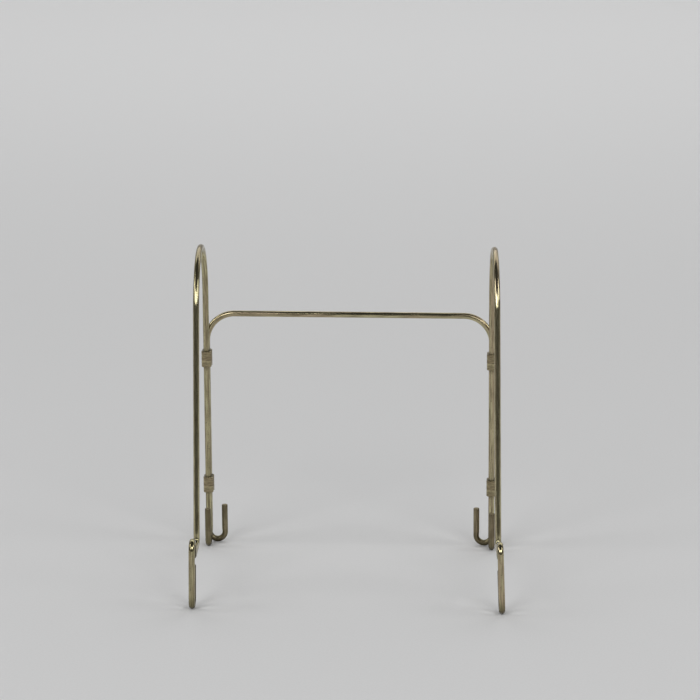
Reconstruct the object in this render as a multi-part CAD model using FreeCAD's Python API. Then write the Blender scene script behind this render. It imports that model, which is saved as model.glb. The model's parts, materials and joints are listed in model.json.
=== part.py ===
import FreeCAD, Part
import math
import os

# Folding plate display stand bent from brass wire.
# A back frame carries two side frames.  Each side frame turns about its own rear post, in two
# figure-of-eight bands that are tight on the back frame and free on the side frame.
# Axes: +X to the viewer's right, +Y to the back, +Z up.  The origin is the middle of the
# footprint, on the surface that the stand rests on.  Millimetres.
# The side frames are bent by hand over one jig, so their heights differ by about a millimetre,
# and their ledges are twisted a little, which tips the hook and the front foot to the side.

# --- driving dimensions ---------------------------------------------------------------------
WIRE_D = 3.0                # drawn brass wire
END_ROUND = 0.5             # edge rounding of the cut wire ends

POST_SPACING = 142.6        # between the two hinge axes
POST_PITCH = 3.6            # side frame post to back frame post, front to back
TURN_DEG = {"left": 2.5, "right": 4.2}      # how far each side frame swings to the right of square
HOOK_TWIST_DEG = {"left": -0.9, "right": 1.8}   # tip of each front leg, its foot to the right

FRAME_DEPTH = 112.0         # rear post to front leg
FRAME_HEIGHT = 160.0        # floor to the top of the side frames
SUPPORT_FOOT = 81.0         # rear post to the corner where the plate support meets the ledge
SUPPORT_LEAN_DEG = 10.5     # lean of the plate support from upright
SUPPORT_BEND_R = 3.0        # centreline radius of that corner
LEDGE_HEIGHT = {"left": 24.0, "right": 25.5}    # centreline of the ledge that carries the plate
LEDGE_BEND_R = 2.7          # centreline radius where the ledge turns up into the hook
HOOK_R = 3.9                # centreline radius of the hook's hairpin
HOOK_HEIGHT = {"left": 34.2, "right": 35.0}     # floor to the top of the hook, before it is tipped
FOOT_R = 3.8                # centreline radius of a foot's hairpin
TAIL_HEIGHT = {"left": 20.5, "right": 20.0}     # cut ends of each side frame's feet

BACK_HEIGHT = 120.0         # floor to the top of the back frame
BACK_CORNER_R = 14.0        # centreline radius of its top corners
BACK_TAIL_HEIGHT = 19.5     # cut ends of its feet

BAND_WALL = 1.0             # thickness of the band strip
BAND_WIDTH = 8.0            # height of a band along the post
BAND_CLEARANCE = 0.05       # radial running clearance on the side frame's post
BAND_BOTTOM = {"lower": 27.0, "upper": 92.0}    # floor to the bottom of each band

# --- derived sizes --------------------------------------------------------------------------
WIRE_R = WIRE_D / 2.0
BAND_OUTER_R = WIRE_R + BAND_WALL
LEAN = math.radians(SUPPORT_LEAN_DEG)
POST_X = {"left": -POST_SPACING / 2.0, "right": POST_SPACING / 2.0}

UP = FreeCAD.Vector(0, 0, 1)


def forward(side):
    """The level direction from a side frame's post to its front leg."""
    turn = math.radians(TURN_DEG[side])
    return FreeCAD.Vector(math.sin(turn), -math.cos(turn), 0)


def down_leg(side):
    """The direction down a front leg, tipped about the ledge."""
    tip = math.radians(HOOK_TWIST_DEG[side])
    return UP * -math.cos(tip) + UP.cross(forward(side)) * math.sin(tip)


def leg_drop(side):
    """Length down the leg from the ledge to the bottom of the foot, between centrelines."""
    return (LEDGE_HEIGHT[side] - WIRE_R) / math.cos(math.radians(HOOK_TWIST_DEG[side]))


def foot_reach(side, direction):
    """How far a front foot reaches from its hinge axis in a level direction."""
    ahead = forward(side).dot(direction)
    below = down_leg(side).dot(direction)
    bend_centre = (FRAME_DEPTH - FOOT_R) * ahead + (leg_drop(side) - FOOT_R) * below
    return bend_centre + FOOT_R * math.hypot(ahead, below) + WIRE_R


# Middle of the footprint, measured from the point midway between the hinge axes.
REACH_RIGHT = POST_X["right"] + foot_reach("right", FreeCAD.Vector(1, 0, 0))
REACH_LEFT = POST_X["left"] - BAND_OUTER_R
REACH_FRONT = -foot_reach("left", FreeCAD.Vector(0, -1, 0))
REACH_BACK = POST_PITCH + BAND_OUTER_R
MIDDLE_X = (REACH_LEFT + REACH_RIGHT) / 2.0
MIDDLE_Y = (REACH_FRONT + REACH_BACK) / 2.0


def hinge_axis(side):
    """The foot of a side frame's hinge axis."""
    return FreeCAD.Vector(POST_X[side] - MIDDLE_X, -MIDDLE_Y, 0)


def bent_path(corners, place):
    """A path of straight runs joined by tangent arcs.

    corners holds (across, up, bend radius) in the plane of the bend, and place turns an
    (across, up) pair into a point in space.  The first and last corners are the cut ends."""
    edges = []
    run_start = (corners[0][0], corners[0][1])
    for before, corner, after in zip(corners, corners[1:], corners[2:]):
        angle_in = math.atan2(corner[1] - before[1], corner[0] - before[0])
        angle_out = math.atan2(after[1] - corner[1], after[0] - corner[0])
        turn = math.remainder(angle_out - angle_in, 2 * math.pi)
        setback = corner[2] * math.tan(abs(turn) / 2.0)
        arc_start = (corner[0] - setback * math.cos(angle_in), corner[1] - setback * math.sin(angle_in))
        arc_end = (corner[0] + setback * math.cos(angle_out), corner[1] + setback * math.sin(angle_out))
        side_of_turn = math.copysign(math.pi / 2.0, turn)
        centre = (arc_start[0] + corner[2] * math.cos(angle_in + side_of_turn),
                  arc_start[1] + corner[2] * math.sin(angle_in + side_of_turn))
        middle_angle = angle_in - side_of_turn + turn / 2.0
        arc_middle = (centre[0] + corner[2] * math.cos(middle_angle),
                      centre[1] + corner[2] * math.sin(middle_angle))
        add_run(edges, place(*run_start), place(*arc_start))
        edges.append(Part.Arc(place(*arc_start), place(*arc_middle), place(*arc_end)).toShape())
        run_start = arc_end
    add_run(edges, place(*run_start), place(corners[-1][0], corners[-1][1]))
    return Part.Wire(edges)


def add_run(edges, start, end):
    """Add a straight run, unless two arcs meet there with nothing between them."""
    shortest_run = 1e-4
    if start.distanceToPoint(end) > shortest_run:
        edges.append(Part.LineSegment(start, end).toShape())


def bent_wire(path):
    """Round wire along a path, with the sharp edge taken off both cut ends."""
    start = path.OrderedEdges[0]
    first_point = start.valueAt(start.FirstParameter)
    along = start.tangentAt(start.FirstParameter)
    section = Part.Wire(Part.Circle(first_point, along, WIRE_R).toShape())
    solid = path.makePipeShell([section], True, False)
    cut_ends = [face for face in solid.Faces if isinstance(face.Surface, Part.Plane)]
    return solid.makeFillet(END_ROUND, [edge for face in cut_ends for edge in face.Edges])


def side_frame(side):
    """One side frame: rear foot and post, arch, plate support, ledge, hook, front leg and foot."""
    top = FRAME_HEIGHT - WIRE_R
    ledge = LEDGE_HEIGHT[side]
    arch_width = SUPPORT_FOOT - (top - ledge) * math.tan(LEAN)
    arch_r = arch_width / (1.0 + math.tan((math.pi / 2.0 - LEAN) / 2.0))
    hook_top = HOOK_HEIGHT[side] - WIRE_R
    hook_back = FRAME_DEPTH - 2 * HOOK_R
    tail = TAIL_HEIGHT[side]
    front_tail = FRAME_DEPTH - 2 * FOOT_R
    front_foot = ledge - leg_drop(side)
    corners = [
        (2 * FOOT_R, tail, 0),
        (2 * FOOT_R, WIRE_R, FOOT_R),
        (0, WIRE_R, FOOT_R),
        (0, top, arch_r),
        (arch_width, top, arch_r),
        (SUPPORT_FOOT, ledge, SUPPORT_BEND_R),
        (hook_back, ledge, LEDGE_BEND_R),
        (hook_back, hook_top, HOOK_R),
        (FRAME_DEPTH, hook_top, HOOK_R),
        (FRAME_DEPTH, front_foot, FOOT_R),
        (front_tail, front_foot, FOOT_R),
        (front_tail, tail, 0),
    ]

    def place(across, height):
        """A point of the frame, which is tipped from the middle of the ledge on."""
        on_ledge = hinge_axis(side) + forward(side) * across + UP * ledge
        down = down_leg(side) if across > (SUPPORT_FOOT + hook_back) / 2.0 else UP * -1
        return on_ledge + down * (ledge - height)

    return bent_wire(bent_path(corners, place))


def back_frame():
    """The back frame: a foot and post at each side, joined by a bar across the top."""
    left_post = hinge_axis("left").x
    right_post = hinge_axis("right").x
    plane_y = hinge_axis("left").y + POST_PITCH
    top = BACK_HEIGHT - WIRE_R
    corners = [
        (left_post + 2 * FOOT_R, BACK_TAIL_HEIGHT, 0),
        (left_post + 2 * FOOT_R, WIRE_R, FOOT_R),
        (left_post, WIRE_R, FOOT_R),
        (left_post, top, BACK_CORNER_R),
        (right_post, top, BACK_CORNER_R),
        (right_post, WIRE_R, FOOT_R),
        (right_post - 2 * FOOT_R, WIRE_R, FOOT_R),
        (right_post - 2 * FOOT_R, BACK_TAIL_HEIGHT, 0),
    ]
    return bent_wire(bent_path(corners, lambda across, height: FreeCAD.Vector(across, plane_y, height)))


def hinge_band(side, level):
    """A strip wrapped in a figure of eight round a side frame post and the post behind it."""
    free_loop = hinge_axis(side) + FreeCAD.Vector(0, 0, BAND_BOTTOM[level])
    tight_loop = free_loop + FreeCAD.Vector(0, POST_PITCH, 0)
    outside = Part.makeCylinder(BAND_OUTER_R, BAND_WIDTH, free_loop).fuse(
        Part.makeCylinder(BAND_OUTER_R, BAND_WIDTH, tight_loop))
    running_bore = Part.makeCylinder(WIRE_R + BAND_CLEARANCE, BAND_WIDTH, free_loop)
    tight_bore = Part.makeCylinder(WIRE_R, BAND_WIDTH, tight_loop)
    return outside.cut([running_bore, tight_bore]).removeSplitter()


def save(name, shape):
    """Write one sub-part as its own STEP file."""
    solid = shape.Solids[0]
    solid.exportStep("parts/" + name + ".step")


os.makedirs("parts", exist_ok=True)
save("back_frame", back_frame())
for side in ("left", "right"):
    save(side + "_side_frame", side_frame(side))
    for level in ("lower", "upper"):
        save("hinge_band_" + level + "_" + side, hinge_band(side, level))
    print(side, "hinge axis at", hinge_axis(side))
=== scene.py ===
import json
import math
import random

import bpy
from mathutils import Matrix, Vector, noise


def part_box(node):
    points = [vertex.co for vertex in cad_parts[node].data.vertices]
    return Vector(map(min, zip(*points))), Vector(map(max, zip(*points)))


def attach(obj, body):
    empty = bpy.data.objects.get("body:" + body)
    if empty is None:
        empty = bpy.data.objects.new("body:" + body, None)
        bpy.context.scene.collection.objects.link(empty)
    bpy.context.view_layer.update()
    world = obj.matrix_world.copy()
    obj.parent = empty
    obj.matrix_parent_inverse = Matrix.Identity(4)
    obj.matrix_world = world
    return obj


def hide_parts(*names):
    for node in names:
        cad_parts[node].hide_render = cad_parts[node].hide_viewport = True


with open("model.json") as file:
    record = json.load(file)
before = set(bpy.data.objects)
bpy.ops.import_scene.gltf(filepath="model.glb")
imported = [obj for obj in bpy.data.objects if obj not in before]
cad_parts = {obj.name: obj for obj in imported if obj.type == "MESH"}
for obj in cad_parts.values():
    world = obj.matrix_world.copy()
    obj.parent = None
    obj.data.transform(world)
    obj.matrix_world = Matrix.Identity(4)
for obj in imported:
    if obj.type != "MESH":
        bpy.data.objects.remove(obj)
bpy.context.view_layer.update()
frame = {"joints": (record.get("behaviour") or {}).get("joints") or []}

# A folding plate display stand of bent brass wire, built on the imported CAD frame.
# Every length is in metres: a number times MM is that many millimetres.

MM = 0.001

# --- sizes repeated from the CAD source, where its boxes don't give them ----------------------
END_ROUND = 0.5 * MM            # rounded edge of a cut wire end
FOOT_R = 3.8 * MM               # centreline radius of a foot's hairpin
HOOK_R = 3.9 * MM               # centreline radius of the hook's hairpin
FRAME_DEPTH = 112.0 * MM        # rear post to front leg
LEDGE_BEND_R = 2.7 * MM         # where the ledge turns up into the hook
SUPPORT_BEND_R = 3.0 * MM       # where the plate support meets the ledge
SUPPORT_FOOT = 81.0 * MM        # that corner's distance in front of the rear post
SUPPORT_LEAN = math.radians(10.5)
TURN = {"left": math.radians(2.5), "right": math.radians(4.2)}       # each side frame's swing to the right
HOOK_TWIST = {"left": math.radians(-0.9), "right": math.radians(1.8)}    # tip of its front leg
LEDGE_HEIGHT = {"left": 24.0 * MM, "right": 25.5 * MM}
HOOK_HEIGHT = {"left": 34.2 * MM, "right": 35.0 * MM}
TAIL_HEIGHT = {"left": 20.5 * MM, "right": 20.0 * MM}
BACK_TAIL_HEIGHT = 19.5 * MM
BACK_CORNER_R = 14.0 * MM

# --- sizes read from the CAD frame ------------------------------------------------------------
BACK_LOW, BACK_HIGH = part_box("back_frame")
WIRE_R = (BACK_HIGH.y - BACK_LOW.y) / 2
HINGES = {joint["name"]: Vector(joint["pos_m"]) for joint in frame["joints"]}
SIDES = ("left", "right")
LEVELS = ("lower", "upper")
BAND_SPANS = [(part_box("hinge_band_" + level + "_left")[0].z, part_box("hinge_band_" + level + "_left")[1].z)
              for level in LEVELS]
UP = Vector((0, 0, 1))

# --- how finely the wire is meshed ------------------------------------------------------------
RING_POINTS = 40
RUN_STEP = 1.3 * MM
ARC_STEP = math.radians(5)
HARD_EDGE = math.radians(50)    # an edge that turns by more than this is drawn sharp
TIGHT_BEND = 6.0 * MM           # bends of a smaller radius than this flatten and mark the wire

# --- marks of making and wear, and painted shade ----------------------------------------------
SQUEEZE = 0.05                  # share by which a tight bend flattens the wire
SQUEEZE_REACH = 1.6 * MM        # how far along the wire that fades
JAW_MARK_REACH = 0.45 * MM      # how far along the wire a jaw's mark fades
SHEAR_STEP = 0.05 * MM          # between the two halves of a cut face
SHEAR_SOFTNESS = 0.2 * MM       # how gently that step falls
CUT_ROUGHNESS = 0.012 * MM
CUT_GRAIN = 0.5 * MM            # size of the roughness's bumps
CUT_MIDDLE_DEPTH = 0.037 * MM   # the middle of a cut face, below where a square cut would be
FLOOR_SHADE_RISE = 5.0 * MM      # how far up from the floor the painted shade fades
BAND_DIRT_REACH = 0.7 * MM      # how far along a post from its band dirt fades
NEAR_POST = 7.0 * MM            # what is nearer than this to a hinge axis is at its post
TAIL_SHADE = 0.7                 # painted shade on the tails beside the posts
WARMTH = {"left": 0.15, "back": 0.45, "right": 0.85}    # how brown, rather than olive, the tarnish is


def ramp(value, start, end):
    """0 up to start, 1 from end on, and even in between."""
    return min(1.0, max(0.0, (value - start) / (end - start)))


# === wire =====================================================================================

def add_run(samples, start, end, heading):
    """Samples of a straight run: (across, up, heading, 0)."""
    length = math.hypot(end[0] - start[0], end[1] - start[1])
    steps = max(1, round(length / RUN_STEP))
    for i in range(steps + 1):
        share = i / steps
        add_sample(samples, start[0] + (end[0] - start[0]) * share,
                   start[1] + (end[1] - start[1]) * share, heading, 0)


def add_arc(samples, start, heading, turn, radius):
    """Samples of an arc that leaves start along heading: (across, up, heading, bend radius).

    A turn to the right is negative, and so is the radius in its samples."""
    towards_centre = math.copysign(math.pi / 2, turn)
    centre = (start[0] + radius * math.cos(heading + towards_centre),
              start[1] + radius * math.sin(heading + towards_centre))
    steps = math.ceil(abs(turn) / ARC_STEP)
    for i in range(steps + 1):
        angle = heading - towards_centre + turn * i / steps
        add_sample(samples, centre[0] + radius * math.cos(angle), centre[1] + radius * math.sin(angle),
                   heading + turn * i / steps, math.copysign(radius, turn))


def add_sample(samples, across, up, heading, radius):
    """Add a sample, unless it repeats the one before it."""
    repeat = 1e-6
    if samples and math.hypot(across - samples[-1][0], up - samples[-1][1]) < repeat:
        return
    samples.append((across, up, heading, radius))


def bent_path(corners):
    """Samples along straight runs joined by tangent arcs, from corners of (across, up, bend radius)."""
    samples = []
    run_start = corners[0]
    for before, corner, after in zip(corners, corners[1:], corners[2:]):
        heading_in = math.atan2(corner[1] - before[1], corner[0] - before[0])
        heading_out = math.atan2(after[1] - corner[1], after[0] - corner[0])
        turn = math.remainder(heading_out - heading_in, 2 * math.pi)
        setback = corner[2] * math.tan(abs(turn) / 2)
        arc_start = (corner[0] - setback * math.cos(heading_in),
                     corner[1] - setback * math.sin(heading_in))
        add_run(samples, run_start, arc_start, heading_in)
        add_arc(samples, arc_start, heading_in, turn, corner[2])
        run_start = (corner[0] + setback * math.cos(heading_out),
                     corner[1] + setback * math.sin(heading_out))
    add_run(samples, run_start, corners[-1], heading_out)
    return samples


def distances_along(samples):
    """Length of wire from the first cut end to each sample."""
    lengths = [0.0]
    for here, there in zip(samples, samples[1:]):
        lengths.append(lengths[-1] + math.hypot(there[0] - here[0], there[1] - here[1]))
    return lengths


def bend_ends(samples, lengths):
    """Lengths along the wire at which a tight bend starts or ends."""
    marks = []
    tight = [0 < abs(sample[3]) < TIGHT_BEND for sample in samples]
    for i in range(1, len(samples)):
        if tight[i] != tight[i - 1]:
            marks.append((lengths[i] + lengths[i - 1]) / 2)
    return marks


class Wire:
    """The mesh of one bent wire: rings of points along a path in the plane of across and UP.

    twist holds an angle, the height of the straight run that is twisted by it, and where the twist
    starts and ends.  Beyond its end, the whole wire is turned about that run.  wire_space is where
    each point would be if the wire were straight, in millimetres, for the marks that follow it."""

    def __init__(self, corners, origin, across, seed, twist=(0.0, 0.0, 0.0, 1.0)):
        self.origin = origin
        self.across = across
        self.twist = twist
        self.samples = bent_path(corners)
        self.lengths = distances_along(self.samples)
        self.total = self.lengths[-1]
        self.tight = [(length, math.copysign(1, sample[3]))
                      for sample, length in zip(self.samples, self.lengths)
                      if 0 < abs(sample[3]) < TIGHT_BEND]
        self.nips = bend_ends(self.samples, self.lengths)
        self.random = random.Random(seed)
        self.nip_depths = [self.random.uniform(0.03, 0.07) * MM for _ in self.nips]
        self.points = []
        self.faces = []
        self.wire_space = []
        self.bend = []
        self.cut = []

    def upright(self, sample):
        """The direction that is up in the plane of the bend at a sample."""
        angle, height, start, end = self.twist
        angle *= ramp(sample[0], start, end)
        return UP * math.cos(angle) + self.across.cross(UP) * math.sin(angle)

    def place(self, sample, along=0.0):
        """The point in space of a sample, shifted along its heading."""
        level = self.twist[1]
        on_level = self.origin + self.across * sample[0] + UP * level
        return on_level + self.upright(sample) * (sample[1] - level) + self.heading(sample) * along

    def heading(self, sample):
        """The direction of the wire at a sample."""
        return self.across * math.cos(sample[2]) + self.upright(sample) * math.sin(sample[2])

    def tight_bend(self, length):
        """How near a tight bend is, 1 within it and 0 well away, and the side its outside is on."""
        away, side = min((abs(length - mark), side) for mark, side in self.tight)
        return math.exp(-(away / SQUEEZE_REACH) ** 2), -side

    def nip(self, length, angle):
        """Depth of the shallow marks that the bending jaws leave on the wire's two sides."""
        depth = 0.0
        on_side = ramp(abs(math.sin(angle)), 0.55, 1.0)
        for mark, deepest in zip(self.nips, self.nip_depths):
            along = (length - mark) / JAW_MARK_REACH
            if abs(along) < 3:
                depth += deepest * math.exp(-along * along) * on_side
        return depth

    def add_ring(self, sample, length, shift, radius, cut):
        """One ring of points.  Tight bends squeeze the wire a little, and it keeps to their outside."""
        near, outward = self.tight_bend(length)
        squeeze = SQUEEZE * near
        in_plane = self.across * -math.sin(sample[2]) + self.upright(sample) * math.cos(sample[2])
        sideways = self.across.cross(self.upright(sample))
        centre = self.place(sample, shift) + in_plane * (outward * radius * squeeze)
        for i in range(RING_POINTS):
            angle = 2 * math.pi * i / RING_POINTS
            reach = radius - (self.nip(length, angle) if not cut else 0.0)
            offset = in_plane * (reach * (1 - squeeze) * math.cos(angle))
            offset += sideways * (reach * math.sin(angle))
            self.points.append(centre + offset)
            self.wire_space.append((radius * math.cos(angle) / MM, radius * math.sin(angle) / MM,
                                    (length + (WIRE_R - radius) * cut) / MM))
            self.bend.append(near)
            self.cut.append(float(cut))

    def add_end(self, sample, length, inward):
        """Rings of a cut end, from the middle of its face to where the rounding meets the side.

        The face is sheared: its two halves stand a hair apart, and it is slightly rough.
        Returns the number of rings."""
        face_r = WIRE_R - END_ROUND
        shear = self.random.uniform(0, 2 * math.pi)
        rings = [(0.0, face_r * share, True) for share in (0.15, 0.35, 0.55, 0.75, 0.9)]
        for step in range(5):
            angle = math.pi / 2 * (1 - step / 5)
            setback = END_ROUND * (1 - math.sin(angle))
            rings.append((setback, face_r + END_ROUND * math.cos(angle), step < 2))
        for setback, radius, cut in rings:
            self.add_ring(sample, length, inward * setback, radius, cut)
            if cut:
                for i in range(RING_POINTS):
                    angle = 2 * math.pi * i / RING_POINTS
                    index = len(self.points) - RING_POINTS + i
                    sunk = SHEAR_STEP / (1 + math.exp(-radius * math.sin(angle + shear) / SHEAR_SOFTNESS))
                    sunk += CUT_ROUGHNESS * (1 + noise.noise(self.points[index] / CUT_GRAIN))
                    self.points[index] = self.points[index] + self.heading(sample) * (inward * sunk)
        return len(rings)

    def build(self):
        """All rings in order, the faces between them, and the middles of both cut ends."""
        self.points.append(self.place(self.samples[0], CUT_MIDDLE_DEPTH))
        self.wire_space.append((0.0, 0.0, 0.0))
        self.bend.append(0.0)
        self.cut.append(1.0)
        self.add_end(self.samples[0], 0.0, 1)
        for sample, length in zip(self.samples, self.lengths):
            if END_ROUND < length < self.total - END_ROUND:
                self.add_ring(sample, length, 0.0, WIRE_R, False)
        start = len(self.points)
        count = self.add_end(self.samples[-1], self.total, -1)
        self.reverse_rings(start, count)
        self.points.append(self.place(self.samples[-1], -CUT_MIDDLE_DEPTH))
        self.wire_space.append((0.0, 0.0, self.total / MM))
        self.bend.append(0.0)
        self.cut.append(1.0)
        self.join_rings()

    def reverse_rings(self, start, count):
        """Put the far end's rings in the wire's order, from its side to the middle of its face."""
        for values in (self.points, self.wire_space, self.bend, self.cut):
            rings = [values[start + i * RING_POINTS:start + (i + 1) * RING_POINTS] for i in range(count)]
            values[start:] = [value for ring in reversed(rings) for value in ring]

    def join_rings(self):
        """Quads between neighbouring rings and a fan at each cut end."""
        ring_count = (len(self.points) - 2) // RING_POINTS
        last = len(self.points) - 1
        for i in range(RING_POINTS):
            following = (i + 1) % RING_POINTS
            self.faces.append((0, 1 + following, 1 + i))
            far = 1 + (ring_count - 1) * RING_POINTS
            self.faces.append((last, far + i, far + following))
            for ring in range(ring_count - 1):
                here = 1 + ring * RING_POINTS
                there = here + RING_POINTS
                self.faces.append((here + i, here + following, there + following, there + i))


def mesh_object(name, points, faces, vectors, values):
    """A smooth mesh object, sharp at its hard edges, with named attributes on its points."""
    mesh = bpy.data.meshes.new(name)
    mesh.from_pydata(points, [], faces)
    mesh.validate()
    for attribute, data in vectors.items():
        mesh.attributes.new(attribute, "FLOAT_VECTOR", "POINT").data.foreach_set(
            "vector", [number for vector in data for number in vector])
    for attribute, data in values.items():
        mesh.attributes.new(attribute, "FLOAT", "POINT").data.foreach_set("value", data)
    mesh.shade_smooth()
    mesh.set_sharp_from_angle(angle=HARD_EDGE)
    piece = bpy.data.objects.new(name, mesh)
    bpy.context.scene.collection.objects.link(piece)
    return piece


def band_dirt_and_floor_shade(point):
    """Dirt and old polish beside the bands, and painted shade where a foot meets the floor."""
    # painted shade: the wire is darkened more the nearer it comes to the floor
    amount = math.exp(-(point.z / FLOOR_SHADE_RISE) ** 2)
    for low, high in BAND_SPANS:
        post = min((point - HINGES[side + "_fold"]).xy.length for side in SIDES)
        if post < NEAR_POST:
            beside = max(low - point.z, point.z - high, 0.0)
            amount = max(amount, math.exp(-beside / BAND_DIRT_REACH))
    return min(1.0, amount)


def wire_piece(name, wire, replaced, body, warmth, rubbed, painted_shade):
    """Build a wire, give it its tarnish, dirt, painted shade and wear, and put it in the place of its CAD
    node.
    """
    wire.build()
    values = {
        "bend": wire.bend,
        "cut": wire.cut,
        # dirt beside the bands, with painted shade near the floor, on the tails and inside the hook
        "dirt_and_shade": [max(band_dirt_and_floor_shade(point), painted_shade(point)) for point in wire.points],
        "rub": [rubbed(point) for point in wire.points],
        "warmth": [warmth] * len(wire.points),
    }
    piece = mesh_object(name, wire.points, wire.faces, {"wire_space": wire.wire_space}, values)
    piece.data.materials.append(MATERIALS["wire"])
    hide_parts(replaced)
    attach(piece, body)
    return piece


def side_frame(side):
    """One side frame: rear foot and post, arch, plate support, ledge, hook, front leg and foot."""
    hinge = HINGES[side + "_fold"].copy()
    hinge.z = 0
    forward = Vector((math.sin(TURN[side]), -math.cos(TURN[side]), 0))
    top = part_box(side + "_side_frame")[1].z - WIRE_R
    ledge = LEDGE_HEIGHT[side]
    arch_width = SUPPORT_FOOT - (top - ledge) * math.tan(SUPPORT_LEAN)
    arch_r = arch_width / (1 + math.tan((math.pi / 2 - SUPPORT_LEAN) / 2))
    hook_top = HOOK_HEIGHT[side] - WIRE_R
    hook_back = FRAME_DEPTH - 2 * HOOK_R
    front_tail = FRAME_DEPTH - 2 * FOOT_R
    front_foot = ledge - (ledge - WIRE_R) / math.cos(HOOK_TWIST[side])
    tail = TAIL_HEIGHT[side]
    corners = [
        (2 * FOOT_R, tail, 0),
        (2 * FOOT_R, WIRE_R, FOOT_R),
        (0, WIRE_R, FOOT_R),
        (0, top, arch_r),
        (arch_width, top, arch_r),
        (SUPPORT_FOOT, ledge, SUPPORT_BEND_R),
        (hook_back, ledge, LEDGE_BEND_R),
        (hook_back, hook_top, HOOK_R),
        (FRAME_DEPTH, hook_top, HOOK_R),
        (FRAME_DEPTH, front_foot, FOOT_R),
        (front_tail, front_foot, FOOT_R),
        (front_tail, tail, 0),
    ]

    def rubbed(point):
        """Where plates have stood: the top of the ledge and the front of the support."""
        across = (point - hinge).dot(forward)
        on_ledge = SUPPORT_FOOT < across < hook_back
        over_ledge = (point.z - ledge) / WIRE_R
        support = SUPPORT_FOOT - (point.z - ledge) * math.tan(SUPPORT_LEAN)
        before_support = (across - support) / WIRE_R
        if on_ledge and abs(over_ledge) < 1.5:
            return max(0.0, over_ledge)
        if abs(before_support) < 1.3 and point.z > ledge:
            return max(0.0, before_support)
        return 0.0

    def painted_shade(point):
        """Painted shade: darker on the tails behind the legs and beside the post, and inside the hook."""
        across = (point - hinge).dot(forward)
        if across > FRAME_DEPTH / 2:
            behind_leg = ramp(FRAME_DEPTH - across, 1.2 * WIRE_R, 3 * WIRE_R)
            near_hook = ramp(across, hook_back - 8 * MM, hook_back - 2 * MM)
            return behind_leg * near_hook * ramp(hook_top - point.z, 0, 4 * MM)
        beside_post = ramp(across, 1.2 * WIRE_R, 3 * WIRE_R)
        return TAIL_SHADE * beside_post * ramp(tail + 3 * MM - point.z, 0, 1 * MM)

    twist = (HOOK_TWIST[side], ledge, SUPPORT_FOOT + SUPPORT_BEND_R, hook_back - LEDGE_BEND_R)
    wire = Wire(corners, hinge, forward, "side frame " + side, twist)
    return wire_piece(side + "_side_wire", wire, side + "_side_frame", side + "_side",
                      WARMTH[side], rubbed, painted_shade)


def back_frame():
    """The back frame: a foot and post at each side, joined by a bar across the top."""
    left_post = BACK_LOW.x + WIRE_R
    right_post = BACK_HIGH.x - WIRE_R
    top = BACK_HIGH.z - WIRE_R
    corners = [
        (left_post + 2 * FOOT_R, BACK_TAIL_HEIGHT, 0),
        (left_post + 2 * FOOT_R, WIRE_R, FOOT_R),
        (left_post, WIRE_R, FOOT_R),
        (left_post, top, BACK_CORNER_R),
        (right_post, top, BACK_CORNER_R),
        (right_post, WIRE_R, FOOT_R),
        (right_post - 2 * FOOT_R, WIRE_R, FOOT_R),
        (right_post - 2 * FOOT_R, BACK_TAIL_HEIGHT, 0),
    ]
    origin = Vector((0, (BACK_LOW.y + BACK_HIGH.y) / 2, 0))

    def painted_shade(point):
        """Painted shade on the tails beside the posts."""
        inside = min(point.x - left_post, right_post - point.x)
        beside_post = ramp(inside, 1.2 * WIRE_R, 3 * WIRE_R)
        return TAIL_SHADE * beside_post * ramp(BACK_TAIL_HEIGHT + 3 * MM - point.z, 0, 1 * MM)

    wire = Wire(corners, origin, Vector((1, 0, 0)), "back frame")
    return wire_piece("back_wire", wire, "back_frame", "back", WARMTH["back"], lambda point: 0.0, painted_shade)


# === hinge bands ==============================================================================

STRIP_WALL = 1.0 * MM
STRIP_CORNER = 0.2 * MM
WAIST_R = 0.9 * MM              # inside of the pinch between the two loops
PINCH_DEPTH = 0.22 * MM
PINCH_REACH = 0.9 * MM          # how far round the strip the pinch fades
PINCH_RISE = 1.7 * MM           # how far up and down the strip the pinch fades
CREVICE_REACH = 1.1 * MM        # how far from the pinch dirt fades
LOOP_STEPS = 26
WAIST_STEPS = 12
HEIGHT_STEPS = 12
CORNER_STEPS = 4
SEAM_GAP = 0.14 * MM
EDGE_WOBBLE = 0.03 * MM         # how far the strip's edges stray
RUNNING_CLEARANCE = 0.05 * MM


def strip_line(pitch):
    """The strip's middle line round both posts: (x, y, normal x, normal y, distance from the waist).

    The free post is at the origin and the tight one at y = pitch.  The strip's ends meet behind it."""
    loop_r = WIRE_R + STRIP_WALL / 2
    waist_x = math.sqrt((loop_r + WAIST_R) ** 2 - (pitch / 2) ** 2)
    meet = math.asin(pitch / 2 / (loop_r + WAIST_R))
    half_seam = SEAM_GAP / 2 / loop_r
    half = []
    for centre_y, start, end in ((pitch, math.pi / 2 - half_seam, -meet), (0.0, meet, -math.pi / 2)):
        arc = [start + (end - start) * i / LOOP_STEPS for i in range(LOOP_STEPS + 1)]
        half.append([(loop_r * math.cos(a), centre_y + loop_r * math.sin(a), math.cos(a), math.sin(a))
                     for a in arc])
    sweep = [math.pi - meet + 2 * meet * i / WAIST_STEPS for i in range(1, WAIST_STEPS)]
    waist = [(waist_x + WAIST_R * math.cos(a), pitch / 2 + WAIST_R * math.sin(a),
              -math.cos(a), -math.sin(a)) for a in sweep]
    right = half[0] + waist + half[1]
    left = [(-x, y, -nx, ny) for x, y, nx, ny in reversed(right[:-1])]
    line = []
    for x, y, nx, ny in right + left:
        line.append((x, y, nx, ny, math.hypot(y - pitch / 2, abs(x) - waist_x + WAIST_R)))
    return line


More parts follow.
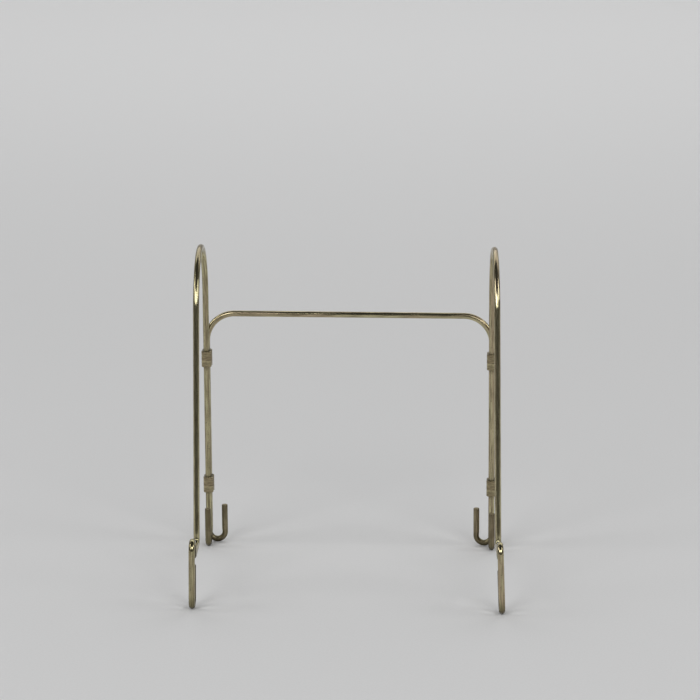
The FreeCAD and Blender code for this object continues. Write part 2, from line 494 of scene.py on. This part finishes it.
def strip_section(height):
    """The strip's section: (offset from the middle of the wall, height), round a rounded rectangle."""
    inner = STRIP_WALL / 2 - STRIP_CORNER
    section = []
    corners = ((1, 0, -90), (1, 1, 0), (-1, 1, 90), (-1, 0, 180))
    for wall_side, high, start in corners:
        centre = (wall_side * inner, STRIP_CORNER + high * (height - 2 * STRIP_CORNER))
        for step in range(CORNER_STEPS + 1):
            angle = math.radians(start + 90 / CORNER_STEPS * step)
            section.append((centre[0] + STRIP_CORNER * math.cos(angle),
                            centre[1] + STRIP_CORNER * math.sin(angle)))
        if start in (0, 180):
            continue
        rise = height - 2 * STRIP_CORNER
        for step in range(1, HEIGHT_STEPS):
            share = step / HEIGHT_STEPS if wall_side > 0 else 1 - step / HEIGHT_STEPS
            section.append((wall_side * STRIP_WALL / 2, STRIP_CORNER + rise * share))
    return section


def clear_of_posts(x, y, pitch):
    """A point of the strip, moved out of the posts where the pinch would push it into their wire."""
    for post_y, bore_r in ((0.0, WIRE_R + RUNNING_CLEARANCE), (pitch, WIRE_R)):
        away = math.hypot(x, y - post_y)
        if away < bore_r:
            x *= bore_r / away
            y = post_y + (y - post_y) * bore_r / away
    return x, y


def hinge_band(side, level):
    """A strip of brass wrapped in a figure of eight, pinched between the posts."""
    node = "hinge_band_" + level + "_" + side
    low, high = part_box(node)
    hinge = HINGES[side + "_fold"]
    pitch = (BACK_LOW.y + BACK_HIGH.y) / 2 - hinge.y
    height = high.z - low.z
    line = strip_line(pitch)
    section = strip_section(height)
    chance = random.Random(node)
    wobble_row = 90 * chance.uniform(-0.06, 0.06)
    pinch_height = height * chance.uniform(0.44, 0.56)
    points = []
    strip_space = []
    crevice = []
    travelled = 0.0
    for index, (x, y, nx, ny, from_waist) in enumerate(line):
        if index:
            travelled += math.hypot(x - line[index - 1][0], y - line[index - 1][1])
        free = ramp(pitch - y, 0.0, pitch)
        for wall, rise in section:
            pinch = PINCH_DEPTH * math.exp(-(from_waist / PINCH_REACH) ** 2)
            pinch *= math.exp(-((rise - pinch_height) / PINCH_RISE) ** 2)
            loosened = RUNNING_CLEARANCE * free if wall < 0 else 0.0
            reach = wall - pinch + loosened
            wobble = noise.noise(Vector((travelled / (2.5 * MM), rise / height, wobble_row)))
            inset = EDGE_WOBBLE * abs(wobble) * (1 if rise < height / 2 else -1)
            point_x, point_y = clear_of_posts(x + nx * reach, y + ny * reach, pitch)
            points.append(Vector((hinge.x + point_x, hinge.y + point_y, low.z + rise + inset)))
            strip_space.append((rise / MM, wall / MM, travelled / MM))
            crevice.append(max(math.exp(-from_waist / CREVICE_REACH), 1.0 if wall < 0 else 0.0))
    count = len(section)
    faces = []
    for ring in range(len(line) - 1):
        for i in range(count):
            following = (i + 1) % count
            here = ring * count
            faces.append((here + i, here + following, here + count + following, here + count + i))
    faces.append(tuple(reversed(range(count))))
    faces.append(tuple(range(len(points) - count, len(points))))
    none = [0.0] * len(points)
    values = {"dirt_and_shade": crevice, "bend": none, "cut": none, "rub": none, "warmth": [0.5] * len(points)}
    name = node.replace("hinge_band", "hinge_strip")
    piece = mesh_object(name, points, faces, {"wire_space": strip_space}, values)
    piece.data.materials.append(MATERIALS["strip"])
    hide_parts(node)
    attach(piece, "back")
    return piece


# === materials ================================================================================

class Nodes:
    """Short calls for making and joining shader nodes in one material."""

    def __init__(self, name):
        self.material = bpy.data.materials.new(name)
        self.material.use_nodes = True
        self.tree = self.material.node_tree
        self.shader = self.tree.nodes["Principled BSDF"]

    def make(self, kind, inputs=None, **settings):
        node = self.tree.nodes.new(kind)
        for setting, value in settings.items():
            setattr(node, setting, value)
        for socket, value in (inputs or {}).items():
            self.feed(node.inputs[socket], value)
        return node

    def feed(self, socket, value):
        """Join an output to a socket, or set the socket to a plain value."""
        if isinstance(value, bpy.types.NodeSocket):
            self.tree.links.new(value, socket)
        else:
            socket.default_value = value

    def attribute(self, name, vector=False):
        node = self.make("ShaderNodeAttribute", attribute_name=name)
        return node.outputs["Vector" if vector else "Fac"]

    def math(self, operation, first, second=0.0):
        node = self.make("ShaderNodeMath", operation=operation)
        self.feed(node.inputs[0], first)
        self.feed(node.inputs[1], second)
        return node.outputs[0]

    def stretched(self, vector, scale):
        node = self.make("ShaderNodeVectorMath", operation="MULTIPLY")
        self.feed(node.inputs[0], vector)
        node.inputs[1].default_value = scale
        return node.outputs[0]

    def noise(self, vector, scale, detail=3.0, roughness=0.55, distortion=0.0):
        node = self.make("ShaderNodeTexNoise", {"Vector": vector, "Scale": scale, "Detail": detail,
                                                "Roughness": roughness, "Distortion": distortion})
        return node.outputs["Fac"]

    def range(self, value, from_low, from_high, to_low=0.0, to_high=1.0, smooth=True):
        node = self.make("ShaderNodeMapRange", {"Value": value, "From Min": from_low, "From Max": from_high,
                                                "To Min": to_low, "To Max": to_high})
        node.interpolation_type = "SMOOTHSTEP" if smooth else "LINEAR"
        return node.outputs["Result"]

    def blend(self, share, first, second):
        node = self.make("ShaderNodeMix", data_type="RGBA")
        self.feed(node.inputs[0], share)
        self.feed(node.inputs[6], first)
        self.feed(node.inputs[7], second)
        return node.outputs[2]


def tarnished_brass(name, clean, olive, brown, dirt_and_shade_colour, gloss, streaks):
    """Drawn or rolled brass: streaks along its length, cloudy tarnish, dirt and painted shade in corners and
    near the floor, painted shade on tight bends, rubbed spots.
    """
    nodes = Nodes(name)
    space = nodes.attribute("wire_space", vector=True)
    place = nodes.make("ShaderNodeTexCoord").outputs["Object"]
    fine_streaks = nodes.noise(nodes.stretched(space, streaks), 3.5, detail=4.0)
    broad_streaks = nodes.noise(nodes.stretched(space, streaks), 0.95, detail=2.0)
    clouds = nodes.noise(place, 95.0, detail=4.0, roughness=0.6, distortion=0.4)
    specks = nodes.noise(place, 1500.0, detail=2.0)
    dirt_and_shade_here = nodes.attribute("dirt_and_shade")
    bend_here = nodes.attribute("bend")
    cut_here = nodes.attribute("cut")
    rub_here = nodes.attribute("rub")
    warmth = nodes.attribute("warmth")

    tarnish = nodes.range(clouds, 0.36, 0.66, 0.0, 0.6)
    tarnish = nodes.math("ADD", tarnish, nodes.range(broad_streaks, 0.4, 0.6, -0.6, 1.0))
    tarnish = nodes.math("SUBTRACT", tarnish, nodes.math("MULTIPLY", rub_here, 0.8))
    tarnish = nodes.range(tarnish, -0.1, 1.1, smooth=False)
    brownness = nodes.math("ADD", warmth, nodes.range(broad_streaks, 0.38, 0.62, -0.45, 0.45))
    dull = nodes.blend(nodes.range(brownness, 0.0, 1.0), olive, brown)
    colour = nodes.blend(tarnish, clean, dull)
    streak_shade = nodes.range(fine_streaks, 0.42, 0.62, 0.0, 0.78)
    colour = nodes.blend(streak_shade, colour, (0.19, 0.155, 0.095, 1.0))
    # painted shade: tight bends are blended towards a deep olive, standing in for the dark room their curves
    # reflect
    colour = nodes.blend(nodes.math("MULTIPLY", bend_here, 0.25), colour, (0.17, 0.165, 0.065, 1.0))
    # dirt by the bands and in the strip's crevices, and painted shade near the floor, on the tails and inside
    # the hooks, blended towards the dark colour
    dirt_and_shade_share = nodes.math("MULTIPLY", dirt_and_shade_here, nodes.range(clouds, 0.3, 0.6, 0.7, 0.95))
    colour = nodes.blend(dirt_and_shade_share, colour, dirt_and_shade_colour)
    pits = nodes.range(specks, 0.63, 0.72, 0.0, 0.6)
    colour = nodes.blend(pits, colour, dirt_and_shade_colour)
    sheared = (0.34, 0.29, 0.175, 1.0)
    colour = nodes.blend(nodes.math("MULTIPLY", cut_here, 0.6), colour, sheared)
    nodes.feed(nodes.shader.inputs["Base Color"], colour)

    roughness = nodes.range(tarnish, 0.0, 1.0, gloss, gloss + 0.14, smooth=False)
    roughness = nodes.math("ADD", roughness, nodes.range(fine_streaks, 0.3, 0.7, -0.04, 0.06))
    roughness = nodes.math("ADD", roughness, nodes.math("MULTIPLY", dirt_and_shade_share, 0.22))
    roughness = nodes.math("ADD", roughness, nodes.math("MULTIPLY", bend_here, -0.03))
    roughness = nodes.math("ADD", roughness, nodes.math("MULTIPLY", cut_here, 0.22))
    nodes.feed(nodes.shader.inputs["Roughness"], roughness)
    nodes.shader.inputs["Metallic"].default_value = 1.0

    relief = nodes.math("ADD", nodes.math("MULTIPLY", fine_streaks, 0.7),
                        nodes.math("MULTIPLY", broad_streaks, 0.3))
    relief = nodes.math("SUBTRACT", relief, nodes.math("MULTIPLY", pits, 0.5))
    bump = nodes.make("ShaderNodeBump", {"Height": relief, "Strength": 0.35, "Distance": 0.05 * MM})
    nodes.feed(nodes.shader.inputs["Normal"], bump.outputs["Normal"])
    return nodes.material


MATERIALS = {
    "wire": tarnished_brass(
        "tarnished_brass_wire", clean=(0.61, 0.555, 0.34, 1.0), olive=(0.26, 0.25, 0.128, 1.0),
        # the dark colour below serves for pits, dirt and painted shade alike
        brown=(0.54, 0.44, 0.29, 1.0), dirt_and_shade_colour=(0.085, 0.07, 0.042, 1.0),
        gloss=0.12, streaks=(1.0, 1.0, 0.03)),
    "strip": tarnished_brass(
        "tarnished_brass_strip", clean=(0.47, 0.41, 0.245, 1.0), olive=(0.27, 0.245, 0.14, 1.0),
        brown=(0.38, 0.31, 0.19, 1.0), dirt_and_shade_colour=(0.08, 0.065, 0.04, 1.0),
        gloss=0.17, streaks=(0.5, 0.5, 0.09)),
}

side_frame("left")
side_frame("right")
back_frame()
for band_side in SIDES:
    for band_level in LEVELS:
        hinge_band(band_side, band_level)


# === floor, light and camera ==================================================================

def floor():
    """A pale paper bowl: flat under the stand, rising far away on all sides."""
    flat_r = 2.6
    rise_r = 1.6
    rise_angle = math.radians(85)
    rise_steps = 12
    around = 96
    profile = [(0.0, 0.0), (0.15, 0.0), (0.4, 0.0), (0.9, 0.0), (1.6, 0.0), (flat_r, 0.0)]
    for step in range(1, rise_steps + 1):
        angle = rise_angle * step / rise_steps
        profile.append((flat_r + rise_r * math.sin(angle), rise_r * (1 - math.cos(angle))))
    points = [Vector((0, 0, 0))]
    for radius, height in profile[1:]:
        for i in range(around):
            angle = 2 * math.pi * i / around
            points.append(Vector((radius * math.cos(angle), radius * math.sin(angle), height)))
    faces = [(0, 1 + i, 1 + (i + 1) % around) for i in range(around)]
    for ring in range(len(profile) - 2):
        here = 1 + ring * around
        for i in range(around):
            following = (i + 1) % around
            faces.append((here + i, here + around + i, here + around + following, here + following))
    bowl = mesh_object("floor", points, faces, {}, {})
    nodes = Nodes("pale_paper")
    place = nodes.make("ShaderNodeTexCoord").outputs["Object"]
    fibre = nodes.noise(place, 900.0, detail=3.0)
    colour = nodes.blend(nodes.range(fibre, 0.3, 0.7), (0.78, 0.78, 0.78, 1.0), (0.80, 0.80, 0.80, 1.0))
    nodes.feed(nodes.shader.inputs["Base Color"], colour)
    nodes.shader.inputs["Roughness"].default_value = 0.75
    nodes.shader.inputs["Specular IOR Level"].default_value = 0.25
    bowl.data.materials.append(nodes.material)


def soft_light(name, azimuth, elevation, distance, size, power, aim):
    """An oblong soft light.  Azimuth 0 is in front of the stand, and 90 is to its right."""
    turn = math.radians(azimuth)
    rise = math.radians(elevation)
    direction = Vector((math.sin(turn) * math.cos(rise), -math.cos(turn) * math.cos(rise), math.sin(rise)))
    data = bpy.data.lights.new(name, "AREA")
    data.shape = "RECTANGLE"
    data.size, data.size_y = size
    data.energy = power
    light = bpy.data.objects.new(name, data)
    light.location = aim + direction * distance
    light.rotation_euler = direction.to_track_quat("Z", "Y").to_euler()
    bpy.context.scene.collection.objects.link(light)


def room_light(level):
    """A dim, even and slightly cool light from all round."""
    world = bpy.data.worlds.new("room")
    world.use_nodes = True
    bpy.context.scene.world = world
    background = world.node_tree.nodes["Background"]
    background.inputs["Color"].default_value = (0.95, 0.97, 1.0, 1.0)
    background.inputs["Strength"].default_value = level


def camera(place, heading, pitch, roll, lens):
    """The camera stands at place and looks heading degrees right of +Y and pitch degrees down."""
    data = bpy.data.cameras.new("camera")
    data.lens = lens
    data.sensor_width = 36.0
    data.clip_start = 0.05
    data.clip_end = 50.0
    eye = bpy.data.objects.new("camera", data)
    turn = Matrix.Rotation(math.radians(-heading), 4, "Z")
    tilt = Matrix.Rotation(math.radians(90 - pitch), 4, "X")
    bank = Matrix.Rotation(math.radians(roll), 4, "Z")
    eye.matrix_world = Matrix.Translation(place) @ turn @ tilt @ bank
    bpy.context.scene.collection.objects.link(eye)
    bpy.context.scene.camera = eye


floor()
middle = Vector((0, 0, 0.05))
for light_side, sign in (("left", -1), ("right", 1)):
    soft_light("side_" + light_side, azimuth=sign * 80, elevation=35, distance=1.15,
               size=(0.42, 0.5), power=2.0, aim=middle)
for light_side, sign in (("left", -1), ("right", 1)):
    soft_light("front_" + light_side, azimuth=sign * 28, elevation=34, distance=2.4,
               size=(1.1, 0.85), power=14.0, aim=middle)
soft_light("backdrop_light", azimuth=180, elevation=90, distance=1.6,
           size=(4.0, 2.4), power=37.0, aim=Vector((0, 2.0, 0)))
room_light(level=0.05)
camera(Vector((0.11907, -1.5531, 0.4819)), heading=-4.354, pitch=13.29, roll=-0.354, lens=171.0)
bpy.context.scene.view_settings.view_transform = "Standard"
